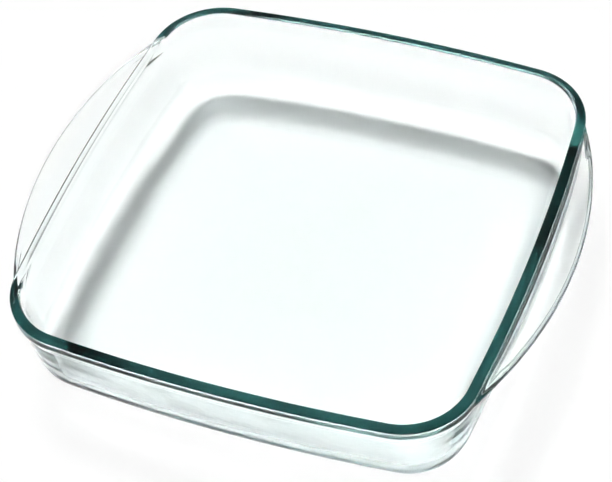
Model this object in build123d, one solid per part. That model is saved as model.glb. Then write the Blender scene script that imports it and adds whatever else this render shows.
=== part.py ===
from build123d import *
from math import atan2, cos, degrees, radians, sin, sqrt, tan
import os

# A square clear glass oven dish with two crescent handles, pressed in one piece.
# It is written as its moulded zones, which meet face to face: floor, four walls,
# rim and handles. The origin is the centre of the underside, +X runs through the
# handles and +Z is up.

# Plan of the rim
inner_width = 204.7          # clear width across the mouth at mid-side, both ways
rim_width = 4.65             # width of the rim's top, from the mouth to the outer edge
corner_radius = 32.0         # outer corner of the rim
side_bow_radius = 890.0      # the sides bow outwards a little

# Upright section
height = 48.5
rim_height = 10.0            # depth of the bead round the mouth, with the shoulder under it
rim_side = 6.1               # its upright outer side, from the top to the shoulder
shoulder_radius = 9.0        # rounding where that side turns into the sloping shoulder
outer_edge_radius = 1.6      # rounding of the rim's top outside
inner_edge_radius = 1.05     # rounding of the rim's top inside
bead_overhang = 2.05         # how far the bead stands out past the wall below it
floor_thickness = 5.6
outer_heel_radius = 17.8     # outside, where wall and floor meet
inner_heel_radius = 13.6     # inside, where wall and floor meet
outer_draft = 7.8            # degrees that the wall's outer face leans out
inner_draft = 9.5            # degrees that the wall's inner face leans out
foot_width = 3.0             # flat ring that the dish stands on
recess_depth = 0.5           # the underside inside that ring is raised by this
recess_slope = 7.5           # how far in from its edge the recess reaches that depth

# Handles
handle_reach = 14.6          # how far a handle stands out past the rim
handle_arc_radius = 177.6    # plan radius of its outer edge
handle_length = 158.0        # along the side, to where the edge runs into the corners
handle_thickness = 4.5
handle_drop = 1.35           # from the rim's top down to the handle's top
handle_edge_radius = 2.1
root_radius = 6.4            # hollow rounding between the wall and the handle's underside

quarter = 90
half_corner = 45

# Plan geometry: each side is an arc round a centre on the far side of the dish,
# and each corner is an arc that runs smoothly into both of its sides
rim_half = inner_width / 2 + rim_width
bow_centre = rim_half - side_bow_radius
corner_reach = side_bow_radius - corner_radius
corner_centre = (bow_centre + sqrt(2 * corner_reach ** 2 - bow_centre ** 2)) / 2
side_angle = degrees(atan2(corner_centre, corner_centre - bow_centre))

# Section geometry: x is zero at the rim's outer edge and negative inwards
bead_bottom = height - rim_height
wall_outer_top = -bead_overhang
outer_slope = tan(radians(outer_draft))
inner_slope = tan(radians(inner_draft))


def outer_face(z):
    """The place of the wall's outer face at a height."""
    return wall_outer_top - (bead_bottom - z) * outer_slope


def inner_face(z):
    """The place of the wall's inner face at a height."""
    return -rim_width - (height - z) * inner_slope


outer_heel = outer_face(outer_heel_radius) - outer_heel_radius / cos(radians(outer_draft))
inner_heel_height = floor_thickness + inner_heel_radius
inner_heel = inner_face(inner_heel_height) - inner_heel_radius / cos(radians(inner_draft))
floor_edge = min(outer_heel, inner_heel)
handle_top = height - handle_drop
handle_bottom = handle_top - handle_thickness


def on_heel(x, z, radius, angle):
    """A point of a heel's arc, at an angle above straight down."""
    return (x + radius * sin(radians(angle)), z - radius * cos(radians(angle)))


def outline(inset):
    """The bowed square with rounded corners, set in from the rim's outer edge."""
    arcs = []
    for turn in range(4):
        side = CenterArc((bow_centre, 0), side_bow_radius - inset, -side_angle, 2 * side_angle)
        corner = CenterArc((corner_centre, corner_centre), corner_radius - inset,
                           side_angle, quarter - 2 * side_angle)
        arcs += [Rot(0, 0, quarter * turn) * side, Rot(0, 0, quarter * turn) * corner]
    return make_face(arcs)


def turned(section, radius, centre, start, arc):
    """A section turned along one arc of the rim's outline."""
    stretch = revolve(Pos(radius, 0, 0) * section, Axis.Z, arc)
    return Pos(*centre) * Rot(0, 0, start) * stretch


def one_side(section):
    """A section run along the +X side and half of the corner at each end."""
    bend = half_corner - side_angle
    side = turned(section, side_bow_radius, (bow_centre, 0), -side_angle, 2 * side_angle)
    near = turned(section, corner_radius, (corner_centre, -corner_centre), -half_corner, bend)
    far = turned(section, corner_radius, (corner_centre, corner_centre), side_angle, bend)
    return near + side + far


def wall_section():
    """The drafted wall with the heel that carries it into the floor."""
    outer_heel_end = on_heel(outer_heel, outer_heel_radius, outer_heel_radius, quarter - outer_draft)
    outer_heel_middle = on_heel(outer_heel, outer_heel_radius, outer_heel_radius, half_corner)
    inner_heel_end = on_heel(inner_heel, inner_heel_height, inner_heel_radius, quarter - inner_draft)
    inner_heel_middle = on_heel(inner_heel, inner_heel_height, inner_heel_radius, half_corner)
    with BuildSketch(Plane.XZ) as section:
        with BuildLine():
            if floor_edge < outer_heel:
                Line((floor_edge, 0), (outer_heel, 0))
            ThreePointArc((outer_heel, 0), outer_heel_middle, outer_heel_end)
            Line(outer_heel_end, (outer_face(bead_bottom), bead_bottom))
            Line((outer_face(bead_bottom), bead_bottom), (inner_face(bead_bottom), bead_bottom))
            Line((inner_face(bead_bottom), bead_bottom), inner_heel_end)
            ThreePointArc(inner_heel_end, inner_heel_middle, (inner_heel, floor_thickness))
            if floor_edge < inner_heel:
                Line((inner_heel, floor_thickness), (floor_edge, floor_thickness))
            Line((floor_edge, floor_thickness), (floor_edge, 0))
        make_face()
    return section.sketch


def rim_section():
    """The bead round the mouth: an upright side over a sloping shoulder, rounded on top."""
    inside = (inner_face(bead_bottom), bead_bottom)
    below = (outer_face(bead_bottom), bead_bottom)
    shoulder, outer_top, inner_top = (0, height - rim_side), (0, height), (-rim_width, height)
    with BuildSketch(Plane.XZ) as section:
        with BuildLine():
            Polyline(inside, below, shoulder, outer_top, inner_top, close=True)
        make_face()
        for corner, radius in ((shoulder, shoulder_radius), (outer_top, outer_edge_radius),
                               (inner_top, inner_edge_radius)):
            fillet(section.vertices().sort_by_distance(corner)[0], radius)
    return section.sketch


def root_section():
    """The glass that fills the corner between the wall and a handle's underside."""
    corner = (outer_face(handle_bottom), handle_bottom)
    run = root_radius * tan(radians((quarter - outer_draft) / 2))
    on_wall = (corner[0] - run * sin(radians(outer_draft)), corner[1] - run * cos(radians(outer_draft)))
    on_handle = (corner[0] + run, corner[1])
    with BuildSketch(Plane.XZ) as section:
        with BuildLine():
            Polyline(on_handle, corner, on_wall)
            TangentArc(on_wall, on_handle, tangent=(sin(radians(outer_draft)), cos(radians(outer_draft))))
        make_face()
    return section.sketch


def make_floor():
    """The flat floor, with a shallow sloping-edged recess under it that leaves the foot ring."""
    slab = extrude(outline(-floor_edge), floor_thickness)
    edge = outline(foot_width - floor_edge)
    edge_half = rim_half + floor_edge - foot_width
    deep = Pos(0, 0, recess_depth) * scale(edge, 1 - recess_slope / edge_half)
    recess = loft([edge, deep])
    return slab - recess


def make_rim():
    """The bead as one closed ring."""
    side = one_side(rim_section())
    ring = side
    for turn in range(1, 4):
        ring += Rot(0, 0, quarter * turn) * side
    return ring


def make_handle(dish):
    """The +X handle: a flat crescent grown out of the rim, with a rounded root under it."""
    centre = rim_half + handle_reach - handle_arc_radius
    disc = Pos(centre, 0, handle_top - handle_thickness / 2) * Cylinder(handle_arc_radius, handle_thickness)
    disc = fillet(disc.edges(), handle_edge_radius)
    root = turned(root_section(), side_bow_radius, (bow_centre, 0), -side_angle, 2 * side_angle)
    root &= Pos(centre, 0, handle_bottom) * Cylinder(handle_arc_radius - handle_edge_radius, height)
    keep = Pos(corner_centre, 0, 0) * Box(rim_half, handle_length, height,
                                          align=(Align.MIN, Align.CENTER, Align.MIN))
    inside = extrude(outline(rim_width), height)
    return ((disc + root) & keep) - inside - dish


def write(name, shape):
    """Give a zone its name and write it."""
    solids = shape.solids()
    part = solids[0] if len(solids) == 1 else Compound(children=solids)
    part.label = name
    export_step(part, os.path.join("parts", name + ".step"))


os.makedirs("parts", exist_ok=True)
wall = one_side(wall_section())
rim = make_rim()
handle = make_handle(rim + wall)

write("floor", make_floor())
for turn, name in enumerate(["wall_right", "wall_back", "wall_left", "wall_front"]):
    write(name, Rot(0, 0, quarter * turn) * wall)
write("rim", rim)
write("handle_right", handle)
write("handle_left", Rot(0, 0, 2 * quarter) * handle)
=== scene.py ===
import bpy
from math import atan2, cos, pi, radians, sin, sqrt, tan
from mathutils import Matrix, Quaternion, Vector, noise


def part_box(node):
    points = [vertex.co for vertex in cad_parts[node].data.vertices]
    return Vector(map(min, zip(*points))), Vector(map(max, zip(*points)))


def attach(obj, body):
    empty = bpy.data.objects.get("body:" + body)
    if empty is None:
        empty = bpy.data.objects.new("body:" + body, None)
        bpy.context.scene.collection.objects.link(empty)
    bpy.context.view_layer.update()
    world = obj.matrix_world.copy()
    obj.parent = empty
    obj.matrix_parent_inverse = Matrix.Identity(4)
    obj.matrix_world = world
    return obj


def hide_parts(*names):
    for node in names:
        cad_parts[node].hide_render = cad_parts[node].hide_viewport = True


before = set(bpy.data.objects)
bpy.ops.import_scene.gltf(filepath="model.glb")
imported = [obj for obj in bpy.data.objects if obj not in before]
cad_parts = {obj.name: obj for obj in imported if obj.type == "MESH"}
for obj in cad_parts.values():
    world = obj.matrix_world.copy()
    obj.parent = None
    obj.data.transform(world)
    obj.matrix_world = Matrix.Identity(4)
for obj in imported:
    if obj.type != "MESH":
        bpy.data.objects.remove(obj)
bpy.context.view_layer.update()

# Sizes of the pressing, in millimetres from the dish's centre and underside
MM = 0.001


def extent(node):
    """A node's lowest and highest corners in millimetres."""
    low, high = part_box(node)
    return [v / MM for v in low], [v / MM for v in high]


RIM_HALF = extent("rim")[1][0]
HEIGHT = extent("rim")[1][2]
BEAD_BOTTOM = extent("rim")[0][2]
FLOOR_TOP = extent("floor")[1][2]
FLOOR_HALF = extent("floor")[1][0]
HANDLE_OUT = extent("handle_right")[1][0]
HANDLE_TOP = extent("handle_right")[1][2]
HANDLE_HALF = extent("handle_right")[1][1]

# Plan
CORNER_RADIUS = 32.0
BOW_RADIUS = 890.0
HANDLE_ARC = 177.6
QUARTERS = 4

# Rim, with x measured out from its nominal edge
RIM_WIDTH = 4.65
RIM_EDGE = -0.3
RIM_SIDE = 6.1
RIM_TILT = 0.2
RIM_SHOULDER = 9.0
TOP_OUTER = 1.5
TOP_INNER = 1.05

# Walls and floor
OVERHANG = 2.05
LOW_WALL = BEAD_BOTTOM - 10.0
UNDER_RIM = 5.0
OUTER_DRAFT = radians(7.8)
INNER_DRAFT = radians(9.5)
OUTER_HEEL = 17.8
INNER_HEEL = 13.6
FOOT_WIDTH = 3.0
FOOT_INSIDE = FLOOR_HALF - RIM_HALF - FOOT_WIDTH
RECESS = 0.5
RECESS_TAPER = 0.093

# Handles: they dip a little to a hollow where they grow out of the rim
HANDLE_THICKNESS = 4.5
HANDLE_DIP = 2.0
HANDLE_BOTTOM = HANDLE_TOP - HANDLE_THICKNESS
HANDLE_ROOT = HANDLE_TOP - HANDLE_DIP
HANDLE_EDGE = 0.49 * HANDLE_THICKNESS
UNDER_HANDLE = 6.4
OVER_HANDLE = 0.6
HANDLE_FADE = 6.0
TOP_OVER_HANDLE = min(TOP_OUTER, 0.8 * (HEIGHT - HANDLE_ROOT - OVER_HANDLE))

# Waves that the mould and the plunger leave in the walls
WAVE_HEIGHT = 0.07
WAVE_LENGTH = 16.0
WAVE_LOW = 7.0
WAVE_HIGH = 36.0
WAVE_FADE = 5.0
INNER_WAVE = 9

# How finely the surface is divided. The outside has as many points over a handle as
# elsewhere: the edge, plate and face over a handle take those of the shoulder and side.
SIDE_STEPS = 110
CORNER_STEPS = 36
FOOT_STEPS = 4
HEEL_STEPS = 24
WALL_STEPS = 14
RECESS_STEPS = 12
UNDER_STEPS = 12
SLOPE_STEPS = 6
SHOULDER_STEPS = 12
RIM_SIDE_STEPS = 28
LOW_EDGE_STEPS = 11
HIGH_EDGE_STEPS = 8
PLATE_STEPS = 7
HOLLOW_STEPS = 7
OVER_STEPS = 6
TOP_OUTER_STEPS = 12
TOP_INNER_STEPS = 10

# Glass: what a metre of it lets through, and its surface ripples
GLASS_TINT = (0.25, 0.80, 0.78, 1)
GLASS_DENSITY = 9.5
RIPPLE_SCALE = 45.0
RIPPLE_STRENGTH = 0.035
PEEL_SCALE = 260.0
PEEL_STRENGTH = 0.012
BUMP_DEPTH = 0.001

# Stage: a near-white table, with painted shade round the dish: where the glass mirrors it, its
# colour darkens with distance from the dish
STAGE_HALF = 3.0
STAGE_DROP = 0.0004
STAGE_COLOUR = 0.9
STAGE_PAINTED_SHADE = 0.05
PAINTED_SHADE_START = 0.13
PAINTED_SHADE_END = 0.22
CAMERA_WHITE = 0.88

# Two soft lights, each a direction and a level, and the dim surroundings that the
# glass mirrors
LIGHTS = (((-0.28, 0.38, 0.882), 60.5), ((0.28, -0.38, 0.882), 16.5))
LIGHT_HALF = radians(6.5)
LIGHT_SOFT = radians(2.5)
HORIZON = 0.04
ZENITH = 0.14

bow_centre = RIM_HALF - BOW_RADIUS
corner_centre = (bow_centre + sqrt(2 * (BOW_RADIUS - CORNER_RADIUS) ** 2 - bow_centre ** 2)) / 2
side_angle = atan2(corner_centre, corner_centre - bow_centre)


def outer_x(z):
    """The wall's outer face, measured out from the rim's nominal edge."""
    return -OVERHANG - (BEAD_BOTTOM - z) * tan(OUTER_DRAFT)


def inner_x(z):
    """The wall's inner face, measured out from the rim's nominal edge."""
    return -RIM_WIDTH - (HEIGHT - z) * tan(INNER_DRAFT)


def arc(cx, cz, radius, start, end, steps):
    """Points along an arc of a section, from one angle to another."""
    return [(cx + radius * cos(start + (end - start) * k / steps),
             cz + radius * sin(start + (end - start) * k / steps)) for k in range(steps + 1)]


def blend(a, b, part):
    """A point some part of the way from one point to another."""
    return a[0] + (b[0] - a[0]) * part, a[1] + (b[1] - a[1]) * part


def spread(a, b, steps):
    """Points between two ends, with neither end."""
    return [blend(a, b, k / steps) for k in range(1, steps)]


def rounded(before, corner, after, radius, steps):
    """The rounding of a section's corner between two straight runs."""
    at = Vector(corner)
    back = (Vector(before) - at).normalized()
    on = (Vector(after) - at).normalized()
    half = back.angle(on) / 2
    centre = at + (back + on).normalized() * radius / sin(half)
    first = at + back * radius / tan(half) - centre
    last = at + on * radius / tan(half) - centre
    start = atan2(first.y, first.x)
    turn = (atan2(last.y, last.x) - start + pi) % (2 * pi) - pi
    return arc(centre.x, centre.y, radius, start, start + turn, steps)


def under_section():
    """The foot ring and the heel."""
    heel_x = outer_x(OUTER_HEEL) - OUTER_HEEL / cos(OUTER_DRAFT)
    points = [(FOOT_INSIDE, 0)] + spread((FOOT_INSIDE, 0), (heel_x, 0), FOOT_STEPS)
    return points + arc(heel_x, OUTER_HEEL, OUTER_HEEL, -pi / 2, -OUTER_DRAFT, HEEL_STEPS)


def inner_section():
    """Down the inner wall and round the inner heel to the floor."""
    heel_z = FLOOR_TOP + INNER_HEEL
    heel_x = inner_x(heel_z) - INNER_HEEL / cos(INNER_DRAFT)
    return arc(heel_x, heel_z, INNER_HEEL, -INNER_DRAFT, -pi / 2, HEEL_STEPS)


def recess_points(x, y):
    """The recess's sloping edge, from its full depth out to a point of the foot ring."""
    points = []
    for k in range(RECESS_STEPS):
        t = k / RECESS_STEPS
        size = 1 - RECESS_TAPER * (1 - t)
        points.append((MM * x * size, MM * y * size, MM * RECESS * (1 - t * t * (3 - 2 * t))))
    return points


def rim_line():
    """The outside of the rim, from the wall up to its rounded top."""
    wall, corner = (outer_x(LOW_WALL), LOW_WALL), (outer_x(BEAD_BOTTOM), BEAD_BOTTOM)
    side, top = (RIM_EDGE, HEIGHT - RIM_SIDE), (RIM_EDGE, HEIGHT)
    under = rounded(wall, corner, side, UNDER_RIM, UNDER_STEPS)
    shoulder = rounded(corner, side, top, RIM_SHOULDER, SHOULDER_STEPS)
    slope = spread(under[-1], shoulder[0], SLOPE_STEPS)
    face = spread(shoulder[-1], (RIM_EDGE, HEIGHT - TOP_OUTER), RIM_SIDE_STEPS)
    return under + slope + shoulder + face


def handle_line(reach):
    """The outside where a handle reaches past the rim, point for point like the rim's."""
    wall, root = (outer_x(LOW_WALL), LOW_WALL), (outer_x(HANDLE_BOTTOM), HANDLE_BOTTOM)
    low, high = (reach, HANDLE_BOTTOM), (reach, HANDLE_TOP)
    over, top = (RIM_EDGE, HANDLE_ROOT), (RIM_EDGE, HEIGHT)
    under = rounded(wall, root, low, UNDER_HANDLE, UNDER_STEPS)
    below = rounded(root, low, high, HANDLE_EDGE, LOW_EDGE_STEPS)
    above = rounded(low, high, over, HANDLE_EDGE, HIGH_EDGE_STEPS)
    hollow = rounded(high, over, top, OVER_HANDLE, HOLLOW_STEPS)
    slope = spread(under[-1], below[0], SLOPE_STEPS)
    plate = spread(above[-1], hollow[0], PLATE_STEPS)
    face = spread(hollow[-1], (RIM_EDGE, HEIGHT - TOP_OVER_HANDLE), OVER_STEPS)
    return under + slope + below + above + plate + hollow + face


def outside_section(reach):
    """From the wall's face over the rim's side or the handle to the rim's inner edge."""
    points, top_round = rim_line(), TOP_OUTER
    if reach > 0:
        part = min(reach / HANDLE_FADE, 1)
        handle = handle_line(max(reach, HANDLE_FADE))
        points = [blend(p, q, part) for p, q in zip(points, handle)]
        top_round += (TOP_OVER_HANDLE - TOP_OUTER) * part
    outer_top = (RIM_EDGE, HEIGHT)
    inner_top = (inner_x(HEIGHT - RIM_TILT), HEIGHT - RIM_TILT)
    low = (inner_x(BEAD_BOTTOM), BEAD_BOTTOM)
    points += rounded((RIM_EDGE, 0), outer_top, inner_top, top_round, TOP_OUTER_STEPS)
    return points + rounded(outer_top, inner_top, low, TOP_INNER, TOP_INNER_STEPS)


def stations():
    """Points of the rim's outer outline with their outward directions, once round."""
    found = []
    for turn in range(QUARTERS):
        spin = turn * 2 * pi / QUARTERS
        for k in range(SIDE_STEPS):
            a = -side_angle + 2 * side_angle * k / SIDE_STEPS
            found.append((bow_centre, 0, BOW_RADIUS, a, spin))
        for k in range(CORNER_STEPS):
            a = side_angle + (pi / 2 - 2 * side_angle) * k / CORNER_STEPS
            found.append((corner_centre, corner_centre, CORNER_RADIUS, a, spin))
    placed = []
    for cx, cy, radius, a, spin in found:
        x, y = cx + radius * cos(a), cy + radius * sin(a)
        c, s = cos(spin), sin(spin)
        placed.append((x * c - y * s, x * s + y * c, cos(a + spin), sin(a + spin)))
    return placed


def handle_reach(x, y, nx, ny):
    """How far a handle stands out past the rim at a station."""
    centre = HANDLE_OUT - HANDLE_ARC
    px = abs(x) - centre
    if abs(y) > HANDLE_HALF or abs(x) < corner_centre:
        return 0
    along = px * abs(nx) + y * ny
    inside = along ** 2 - (px ** 2 + y ** 2) + HANDLE_ARC ** 2
    return max(0, -along + sqrt(max(inside, 0)))


def wave(x, y, z, face):
    """How far the wall's surface wanders at a point, different on its two faces."""
    room = min((z - WAVE_LOW) / WAVE_FADE, (WAVE_HIGH - z) / WAVE_FADE, 1)
    if room <= 0:
        return 0
    place = Vector((x / WAVE_LENGTH, y / WAVE_LENGTH, z / WAVE_LENGTH + face))
    return WAVE_HEIGHT * room * noise.noise(place)


def make_dish():
    """The whole pressing as one closed skin: a section carried round the outline."""
    under = under_section()
    inner = inner_section()
    rings = stations()
    verts, faces = [], []
    for x, y, nx, ny in rings:
        reach = handle_reach(x, y, nx, ny)
        outside = outside_section(reach)
        outer_half = under + spread(under[-1], outside[0], WALL_STEPS) + outside
        section = outer_half + spread(outside[-1], inner[0], WALL_STEPS) + inner
        verts += recess_points(x + nx * FOOT_INSIDE, y + ny * FOOT_INSIDE)
        for k, (d, z) in enumerate(section):
            face = 0 if k < len(outer_half) else INNER_WAVE
            d += wave(x + nx * d, y + ny * d, z, face)
            verts.append((MM * (x + nx * d), MM * (y + ny * d), MM * z))
    count = RECESS_STEPS + len(section)
    total = len(rings)
    for i in range(total):
        j = (i + 1) % total
        for k in range(count - 1):
            faces.append((i * count + k, j * count + k, j * count + k + 1, i * count + k + 1))
    faces.append([i * count + count - 1 for i in range(total)])
    faces.append([i * count for i in reversed(range(total))])
    mesh = bpy.data.meshes.new("dish_glass")
    mesh.from_pydata(verts, [], faces)
    mesh.validate()
    for f in mesh.polygons:
        f.use_smooth = True
    dish = bpy.data.objects.new("dish_glass", mesh)
    bpy.context.collection.objects.link(dish)
    return dish


def number_node(nodes, links, operation, first, second):
    """A math node on two numbers, each a plain value or another node's output."""
    node = nodes.new("ShaderNodeMath")
    node.operation = operation
    for socket, value in zip(node.inputs, (first, second)):
        if isinstance(value, (int, float)):
            socket.default_value = value
        else:
            links.new(value, socket)
    return node.outputs[0]


def ramp_node(nodes, links, value, start, end, low, high):
    """A smooth change from one level to another as a value goes from start to end."""
    node = nodes.new("ShaderNodeMapRange")
    node.interpolation_type = "SMOOTHSTEP"
    links.new(value, node.inputs["Value"])
    for name, number in zip(("From Min", "From Max", "To Min", "To Max"), (start, end, low, high)):
        node.inputs[name].default_value = number
    return node.outputs[0]


def ripple_node(nodes, links, place, scale, strength, under):
    """A bump of soft ripples on top of another bump."""
    pattern = nodes.new("ShaderNodeTexNoise")
    pattern.inputs["Scale"].default_value = scale
    pattern.inputs["Detail"].default_value = 1.0
    links.new(place, pattern.inputs["Vector"])
    bump = nodes.new("ShaderNodeBump")
    bump.inputs["Strength"].default_value = strength
    bump.inputs["Distance"].default_value = BUMP_DEPTH
    links.new(pattern.outputs[0], bump.inputs["Height"])
    if under:
        links.new(under, bump.inputs["Normal"])
    return bump.outputs["Normal"]


def glass_material():
    """Clear pressed glass, tinted blue-green in the mass, with the mould's faint ripples."""
    mat = bpy.data.materials.new("clear_glass")
    mat.use_nodes = True
    nodes, links = mat.node_tree.nodes, mat.node_tree.links
    shader = nodes["Principled BSDF"]
    shader.inputs["Base Color"].default_value = (1, 1, 1, 1)
    shader.inputs["Roughness"].default_value = 0.0
    shader.inputs["IOR"].default_value = 1.52
    shader.inputs["Transmission Weight"].default_value = 1.0
    place = nodes.new("ShaderNodeTexCoord").outputs["Object"]
    ripple = ripple_node(nodes, links, place, RIPPLE_SCALE, RIPPLE_STRENGTH, None)
    ripple = ripple_node(nodes, links, place, PEEL_SCALE, PEEL_STRENGTH, ripple)
    links.new(ripple, shader.inputs["Normal"])
    absorb = nodes.new("ShaderNodeVolumeAbsorption")
    absorb.inputs["Color"].default_value = GLASS_TINT
    absorb.inputs["Density"].default_value = GLASS_DENSITY
    links.new(absorb.outputs["Volume"], nodes["Material Output"].inputs["Volume"])
    return mat


def stage_material():
    """Pale matt board: mostly white to the camera, and lit where the glass shows it, with painted
    shade darkening its colour with distance where the glass mirrors it.
    """
    mat = bpy.data.materials.new("stage_white")
    mat.use_nodes = True
    nodes, links = mat.node_tree.nodes, mat.node_tree.links
    nodes.remove(nodes["Principled BSDF"])
    path = nodes.new("ShaderNodeLightPath")
    seen = path.outputs["Is Camera Ray"]
    straight = number_node(nodes, links, "LESS_THAN", path.outputs["Glossy Depth"], 0.5)
    away = nodes.new("ShaderNodeVectorMath")
    away.operation = "LENGTH"
    links.new(nodes.new("ShaderNodeTexCoord").outputs["Object"], away.inputs[0])
    # Painted shade: for rays the glass has mirrored, the board's colour falls from near-white to
    # dark with distance from the dish; other rays keep the even colour
    painted_falloff = ramp_node(nodes, links, away.outputs["Value"], PAINTED_SHADE_START, PAINTED_SHADE_END,
                     STAGE_COLOUR, STAGE_PAINTED_SHADE)
    even = number_node(nodes, links, "MULTIPLY", straight, STAGE_COLOUR)
    colour = number_node(nodes, links, "MAXIMUM", painted_falloff, even)
    lit = nodes.new("ShaderNodeBsdfDiffuse")
    links.new(colour, lit.inputs["Color"])
    glow = nodes.new("ShaderNodeEmission")
    white = number_node(nodes, links, "MULTIPLY", colour, 1 / STAGE_COLOUR)
    links.new(white, glow.inputs["Strength"])
    share = number_node(nodes, links, "MULTIPLY", seen, CAMERA_WHITE)
    mix = nodes.new("ShaderNodeMixShader")
    links.new(share, mix.inputs[0])
    links.new(lit.outputs[0], mix.inputs[1])
    links.new(glow.outputs[0], mix.inputs[2])
    links.new(mix.outputs[0], nodes["Material Output"].inputs["Surface"])
    return mat


def make_stage():
    """The table under the dish."""
    half = STAGE_HALF
    corners = [(-half, -half, -STAGE_DROP), (half, -half, -STAGE_DROP),
               (half, half, -STAGE_DROP), (-half, half, -STAGE_DROP)]
    mesh = bpy.data.meshes.new("stage_floor")
    mesh.from_pydata(corners, [], [(0, 1, 2, 3)])
    mesh.materials.append(stage_material())
    floor = bpy.data.objects.new("stage_floor", mesh)
    bpy.context.collection.objects.link(floor)


def make_world():
    """Soft lights for what the table scatters, white behind the glass, dim where it mirrors."""
    world = bpy.data.worlds.new("studio")
    bpy.context.scene.world = world
    world.cycles.sampling_method = "NONE"
    world.use_nodes = True
    nodes, links = world.node_tree.nodes, world.node_tree.links
    path = nodes.new("ShaderNodeLightPath")
    place = nodes.new("ShaderNodeTexCoord").outputs["Generated"]
    light = 0.0
    for direction, level in LIGHTS:
        toward = nodes.new("ShaderNodeVectorMath")
        toward.operation = "DOT_PRODUCT"
        toward.inputs[1].default_value = direction
        links.new(place, toward.inputs[0])
        patch = ramp_node(nodes, links, toward.outputs["Value"], cos(LIGHT_HALF + LIGHT_SOFT),
                          cos(LIGHT_HALF - LIGHT_SOFT), 0.0, level)
        light = number_node(nodes, links, "ADD", patch, light)
    axes = nodes.new("ShaderNodeSeparateXYZ")
    links.new(place, axes.inputs[0])
    around = ramp_node(nodes, links, axes.outputs["Z"], 0.0, 1.0, HORIZON, ZENITH)
    lighting = number_node(nodes, links, "GREATER_THAN", path.outputs["Diffuse Depth"], 0.5)
    bent = number_node(nodes, links, "GREATER_THAN", path.outputs["Glossy Depth"], 0.5)
    dim = number_node(nodes, links, "MAXIMUM", lighting, bent)
    white = number_node(nodes, links, "SUBTRACT", 1.0, dim)
    surroundings = number_node(nodes, links, "MAXIMUM", around, white)
    level = number_node(nodes, links, "MULTIPLY", lighting, light)
    level = number_node(nodes, links, "ADD", level, surroundings)
    links.new(level, nodes["Background"].inputs["Strength"])
    nodes["Background"].inputs["Color"].default_value = (1, 1, 1, 1)


def glass_paths():
    """Let light run on inside the glass, and reach the table through it unblurred."""
    cycles = bpy.context.scene.cycles
    cycles.max_bounces = 48
    cycles.glossy_bounces = 32
    cycles.transmission_bounces = 32
    cycles.blur_glossy = 0.0
    cycles.sample_clamp_indirect = 0.0


def make_camera():
    """The photograph's viewpoint, fitted to the dish's edges."""
    azimuth, elevation, roll = radians(27.7), radians(49.51), radians(-8.47)
    distance = 0.8879
    target = Vector((0.0004, -0.0039, 0.025))
    focal_pixels = 2022.4
    image_width = 612
    data = bpy.data.cameras.new("camera")
    data.sensor_width = 36.0
    data.lens = data.sensor_width * focal_pixels / image_width
    camera = bpy.data.objects.new("camera", data)
    back = Vector((sin(azimuth) * cos(elevation), -cos(azimuth) * cos(elevation), sin(elevation)))
    camera.location = target + back * distance
    camera.rotation_mode = "QUATERNION"
    camera.rotation_quaternion = (-back).to_track_quat("-Z", "Y") @ Quaternion((0, 0, 1), roll)
    bpy.context.collection.objects.link(camera)
    bpy.context.scene.camera = camera


dish = make_dish()
dish.data.materials.append(glass_material())
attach(dish, "root")
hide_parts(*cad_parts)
make_stage()
make_world()
glass_paths()
make_camera()
bpy.context.scene.view_settings.view_transform = "Standard"
